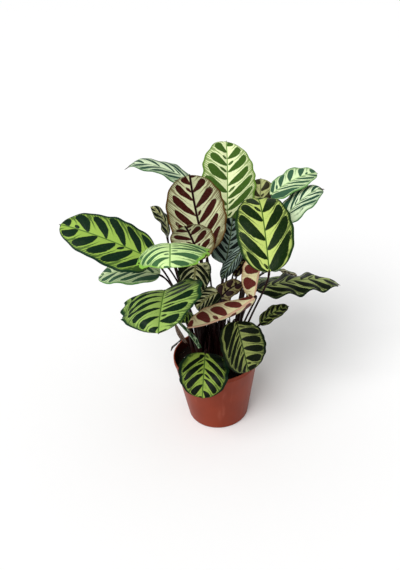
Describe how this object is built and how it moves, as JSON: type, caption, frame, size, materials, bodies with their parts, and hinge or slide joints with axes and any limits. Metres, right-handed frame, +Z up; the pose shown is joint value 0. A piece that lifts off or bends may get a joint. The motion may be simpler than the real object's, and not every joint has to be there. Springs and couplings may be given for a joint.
{
  "type": "potted calathea",
  "caption": "Peacock-patterned calathea in a tapered plastic nursery pot with soil, standing on its flat foot.",
  "frame": {"origin": "middle of the pot's flat foot, at the height it stands on", "axes": "+Z up along the pot's axis, -Y towards the front of the plant, +X to the right of someone facing it"},
  "size_m": [0.4137, 0.3487, 0.4299],
  "materials": {
    "pot_plastic": "satin, terracotta colour",
    "potting_soil": "rough, dark potting mix",
    "leaf_blade": "satin leaf, light green with dark green ovals above and maroon ones below",
    "leaf_stalk": "satin, near-black maroon"
  },
  "bodies": {
    "root": {"pot": "pot_plastic", "soil": "potting_soil", "stalks_left": "leaf_stalk", "stalks_front_left": "leaf_stalk", "stalks_front_right": "leaf_stalk", "stalks_right": "leaf_stalk", "stalks_far_right": "leaf_stalk", "stalks_back": "leaf_stalk", "stalks_back_left": "leaf_stalk", "stalks_middle": "leaf_stalk", "leaf_far_left": "leaf_blade", "leaf_low_left": "leaf_blade", "leaf_arched_left": "leaf_blade", "leaf_front_left": "leaf_blade", "leaf_top_left": "leaf_blade", "leaf_top": "leaf_blade", "leaf_tall_reverse": "leaf_blade", "leaf_small_reverse": "leaf_blade", "leaf_upper_right": "leaf_blade", "leaf_outer_right": "leaf_blade", "leaf_front_right": "leaf_blade", "leaf_long_right": "leaf_blade", "leaf_back_right_low": "leaf_blade", "leaf_small_right": "leaf_blade", "leaf_rim_right": "leaf_blade", "leaf_rim_left": "leaf_blade", "leaf_hanging_reverse": "leaf_blade", "leaf_rolled_reverse": "leaf_blade", "leaf_inner_reverse": "leaf_blade", "leaf_centre_upper": "leaf_blade", "leaf_centre_lower": "leaf_blade", "leaf_centre_small": "leaf_blade", "leaf_young_back_left": "leaf_blade", "leaf_behind_right": "leaf_blade", "leaf_middle_upright": "leaf_blade", "leaf_brown_reverse": "leaf_blade", "leaf_middle_droop": "leaf_blade", "leaf_young_front": "leaf_blade", "leaf_back_high_right": "leaf_blade", "leaf_back_high_left": "leaf_blade", "leaf_low_back_left": "leaf_blade", "leaf_dry_sheath": "leaf_blade", "leaf_back_left": "leaf_blade", "leaf_back_right": "leaf_blade", "leaf_back_low": "leaf_blade", "leaf_back_middle": "leaf_blade", "leaf_back_small": "leaf_blade"}
  },
  "joints": []
}
